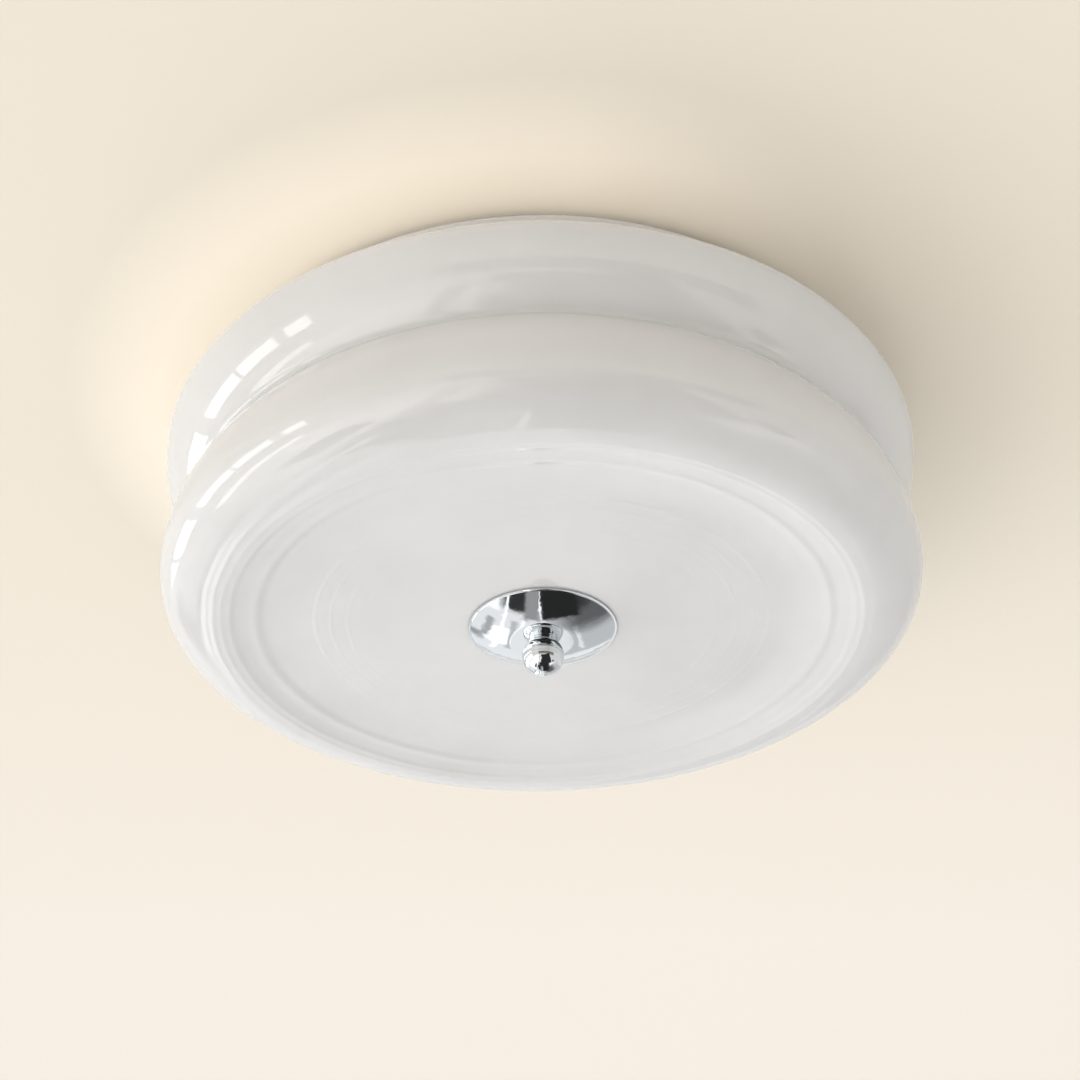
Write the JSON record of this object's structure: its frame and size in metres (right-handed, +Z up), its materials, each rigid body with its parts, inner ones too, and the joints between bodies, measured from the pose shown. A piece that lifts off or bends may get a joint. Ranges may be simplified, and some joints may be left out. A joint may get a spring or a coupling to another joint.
{
  "type": "ceiling light",
  "caption": "Flush ceiling light: two-bellied opal glass shade held under a white pan by a threaded tube, a chromed dish and a ball finial, with screw-in bulbs inside.",
  "frame": {"origin": "middle of the face that lies on the ceiling", "axes": "+Z up, out of the ceiling face into the ceiling; X along the ceiling bracket and its two slots"},
  "size_m": [0.4079, 0.408, 0.1586],
  "materials": {
    "opal_glass": "glossy opal",
    "chrome": "polished",
    "white_enamel": "semi-gloss",
    "zinc_steel": "zinc plated",
    "brass": "plain",
    "porcelain": "glazed",
    "block_plastic": "matte",
    "black_rubber": "matte",
    "clear_rubber": "matte",
    "brown_lead": "satin",
    "blue_lead": "satin",
    "green_lead": "satin",
    "bulb_opal": "satin opal",
    "bulb_plastic": "matte",
    "bulb_metal": "plain"
  },
  "bodies": {
    "base": {"ceiling_bracket": "zinc_steel", "bracket_studs": "zinc_steel", "base_pan": "white_enamel", "cap_washers": "zinc_steel", "cap_nuts": "zinc_steel", "cable_grommet": "black_rubber", "centre_tube": "zinc_steel", "tube_washers": "zinc_steel", "tube_nuts": "zinc_steel", "holder_brackets": "zinc_steel", "bracket_rivets": "zinc_steel", "lampholder_bodies": "porcelain", "lampholder_shells": "brass", "lampholder_contacts": "brass", "lampholder_nipples": "zinc_steel", "lampholder_nuts": "zinc_steel", "terminal_block": "block_plastic", "terminal_tubes": "brass", "terminal_screws": "brass", "block_screws": "zinc_steel", "earth_tag": "zinc_steel", "earth_screw": "zinc_steel", "earth_nut": "zinc_steel", "live_leads": "brown_lead", "neutral_leads": "blue_lead", "earth_lead": "green_lead", "stop_nut": "zinc_steel", "stop_washer": "zinc_steel", "inner_gasket": "clear_rubber"},
    "shade": {"glass_shade": "opal_glass"},
    "dish": {"dish_cover": "chrome", "outer_gasket": "clear_rubber"},
    "finial": {"ball_finial": "chrome"},
    "bulb_1": {"bulb_globe_1": "bulb_opal", "bulb_body_1": "bulb_plastic", "bulb_cap_1": "bulb_metal", "bulb_contact_1": "bulb_metal"},
    "bulb_2": {"bulb_globe_2": "bulb_opal", "bulb_body_2": "bulb_plastic", "bulb_cap_2": "bulb_metal", "bulb_contact_2": "bulb_metal"},
    "bulb_3": {"bulb_globe_3": "bulb_opal", "bulb_body_3": "bulb_plastic", "bulb_cap_3": "bulb_metal", "bulb_contact_3": "bulb_metal"}
  },
  "joints": [
    {"name": "shade_lower", "type": "slide", "parent": "base", "child": "shade", "axis": [0, 0, -1], "range_m": [0, 0.165]},
    {"name": "dish_lower", "type": "slide", "parent": "shade", "child": "dish", "axis": [0, 0, -1], "range_m": [0, 0.0075]},
    {"name": "finial_turn", "type": "hinge", "parent": "dish", "child": "finial", "pos_m": [0, 0, -0.1476], "axis": [0, 0, -1], "range_deg": [0, 2700]},
    {"name": "bulb_1_out", "type": "slide", "parent": "base", "child": "bulb_1", "axis": [0, 1, 0], "range_m": [0, 0.025]},
    {"name": "bulb_2_out", "type": "slide", "parent": "base", "child": "bulb_2", "axis": [-0.866, -0.5, 0], "range_m": [0, 0.025]},
    {"name": "bulb_3_out", "type": "slide", "parent": "base", "child": "bulb_3", "axis": [0.866, -0.5, 0], "range_m": [0, 0.025]}
  ],
  "couplings": [
    {"joint": "finial_turn", "follows": "dish_lower", "rad_per_m": 6283.2}
  ]
}
